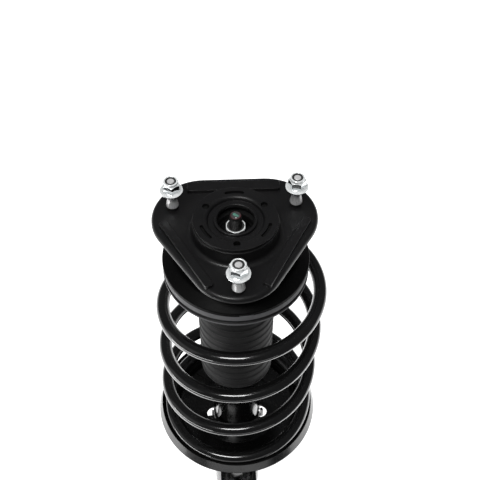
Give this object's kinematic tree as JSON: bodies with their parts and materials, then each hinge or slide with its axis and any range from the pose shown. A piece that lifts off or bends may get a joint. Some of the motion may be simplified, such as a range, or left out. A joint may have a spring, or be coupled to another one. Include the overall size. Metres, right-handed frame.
{
  "type": "suspension strut assembly",
  "caption": "MacPherson strut for a car's front wheel: damper with coil spring, lower and upper seats, dust boot, steering bearing and studded top mount.",
  "frame": {"origin": "centre of the circle of three studs, on the top face of the mount plate, on the strut's axis", "axes": "+Z along the strut's axis, up towards the car's body; -Y points from the axis towards the wheel knuckle; +X completes a right-handed frame"},
  "size_m": [0.1854, 0.1854, 0.5564],
  "materials": {
    "satin_black_steel": "satin black electrocoat on pressed steel",
    "gloss_black_paint": "gloss black paint on steel",
    "gloss_black_spring": "gloss black powder coat on spring wire",
    "zinc_plate": "bright zinc plate",
    "dark_steel": "phosphated steel",
    "bare_steel": "drawn steel",
    "bearing_steel": "ground bearing steel",
    "sintered_steel": "sintered steel",
    "hard_chrome": "ground and hard chromed",
    "bronze": "sintered bronze",
    "black_rubber": "matt black rubber",
    "grey_rubber": "matt dark grey rubber",
    "boot_rubber": "satin black rubber",
    "foam": "microcellular polyurethane",
    "nylon": "moulded nylon"
  },
  "bodies": {
    "strut_body": {"strut_tube": "gloss_black_paint", "tube_foot": "gloss_black_paint", "pressure_tube": "bare_steel", "base_valve": "sintered_steel", "rod_guide": "sintered_steel", "rod_bush": "bronze", "rod_seal": "black_rubber", "tube_cap": "zinc_plate", "lower_spring_seat": "gloss_black_paint", "lower_isolator": "black_rubber", "coil_spring": "gloss_black_spring", "knuckle_bracket": "gloss_black_paint", "bracket_brace": "gloss_black_paint", "link_bracket": "gloss_black_paint", "hose_bracket": "gloss_black_paint"},
    "upper_seat": {"upper_spring_seat": "gloss_black_paint", "upper_isolator": "grey_rubber", "dust_boot": "boot_rubber", "bump_stop": "foam", "bearing_lower_race": "bearing_steel", "bearing_seal": "black_rubber"},
    "bearing_set": {"bearing_cage": "nylon", "bearing_balls": "bearing_steel"},
    "top_mount": {"mount_plate": "satin_black_steel", "mount_lower_shell": "satin_black_steel", "mount_rubber": "black_rubber", "mount_core": "dark_steel", "mount_studs": "zinc_plate", "stud_nuts": "zinc_plate", "rod_washer": "dark_steel", "rod_nut": "dark_steel", "rod_nut_insert": "nylon", "bearing_upper_race": "bearing_steel", "piston_rod": "hard_chrome", "rebound_stop": "nylon", "piston": "sintered_steel", "piston_band": "nylon", "piston_nut": "zinc_plate"}
  },
  "joints": [
    {"name": "strut_travel", "type": "slide", "parent": "strut_body", "child": "upper_seat", "axis": [0, 0, -1], "range_m": [0, 0.14], "stiffness_N_per_m": 28000, "springref_m": -0.06, "deforming": ["coil_spring", "dust_boot", "bump_stop"]},
    {"name": "mount_turn", "type": "hinge", "parent": "upper_seat", "child": "top_mount", "pos_m": [0, 0, 0], "axis": [0, 0, 1], "continuous": true},
    {"name": "bearing_roll", "type": "hinge", "parent": "upper_seat", "child": "bearing_set", "pos_m": [0, 0, 0], "axis": [0, 0, 1], "continuous": true}
  ],
  "couplings": [
    {"joint": "bearing_roll", "follows": "mount_turn", "ratio": 0.5}
  ]
}
